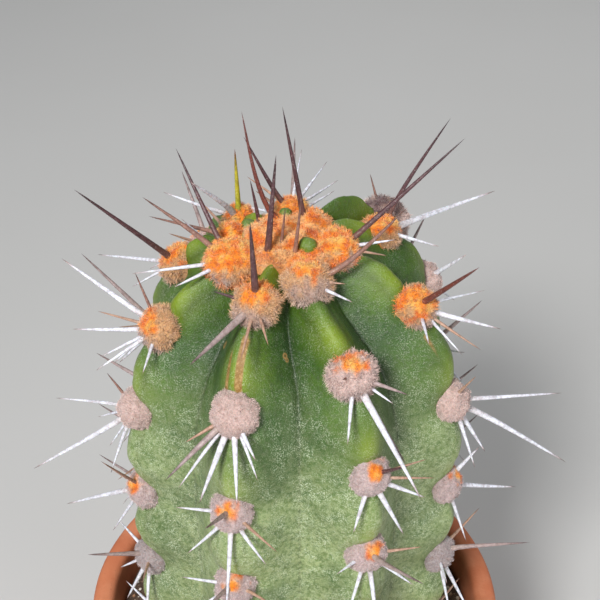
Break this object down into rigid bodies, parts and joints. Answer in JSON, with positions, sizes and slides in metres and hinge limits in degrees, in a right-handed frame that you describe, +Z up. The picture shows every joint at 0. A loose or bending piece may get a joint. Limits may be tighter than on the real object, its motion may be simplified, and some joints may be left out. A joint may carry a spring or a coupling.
{
  "type": "potted neoraimondia churinensis",
  "caption": "Young ribbed column cactus with large felt areoles and long spines, standing in soil in a round clay pot.",
  "frame": {"origin": "centre of the pot's flat underside", "axes": "+Z up along the stem, +X to the right and -Y towards the viewer of the picture"},
  "size_m": [0.1476, 0.1339, 0.2889],
  "materials": {
    "clay": "matte",
    "soil": "matte",
    "skin": "satin",
    "young_felt": "matte",
    "old_felt": "matte"
  },
  "bodies": {
    "root": {"pot": "clay", "soil": "soil", "stem": "skin", "crown_felt": "young_felt", "areole_f1_1": "young_felt", "areole_f1_2": "old_felt", "areole_f1_3": "old_felt", "areole_f1_4": "old_felt", "areole_f1_5": "old_felt", "areole_f1_6": "old_felt", "areole_f2_1": "young_felt", "areole_f2_2": "old_felt", "areole_f2_3": "old_felt", "areole_f2_4": "old_felt", "areole_f2_5": "old_felt", "areole_f2_6": "old_felt", "areole_r1_1": "young_felt", "areole_r1_2": "old_felt", "areole_r1_3": "old_felt", "areole_r1_4": "old_felt", "areole_r1_5": "old_felt", "areole_r1_6": "old_felt", "areole_b3_1": "young_felt", "areole_b3_2": "old_felt", "areole_b3_3": "old_felt", "areole_b3_4": "old_felt", "areole_b3_5": "old_felt", "areole_b3_6": "old_felt", "areole_b4_1": "old_felt", "areole_b4_2": "old_felt", "areole_b4_3": "old_felt", "areole_b4_4": "old_felt", "areole_b4_5": "old_felt", "areole_b4_6": "old_felt", "areole_b2_1": "young_felt", "areole_b2_2": "old_felt", "areole_b2_3": "old_felt", "areole_b2_4": "old_felt", "areole_b2_5": "old_felt", "areole_b2_6": "old_felt", "areole_b1_1": "young_felt", "areole_b1_2": "old_felt", "areole_b1_3": "old_felt", "areole_b1_4": "old_felt", "areole_b1_5": "old_felt", "areole_b1_6": "old_felt", "areole_l2_1": "young_felt", "areole_l2_2": "old_felt", "areole_l2_3": "old_felt", "areole_l2_4": "old_felt", "areole_l2_5": "old_felt", "areole_l2_6": "old_felt", "areole_l1_1": "young_felt", "areole_l1_2": "old_felt", "areole_l1_3": "old_felt", "areole_l1_4": "old_felt", "areole_l1_5": "old_felt", "areole_l1_6": "old_felt"}
  },
  "joints": []
}
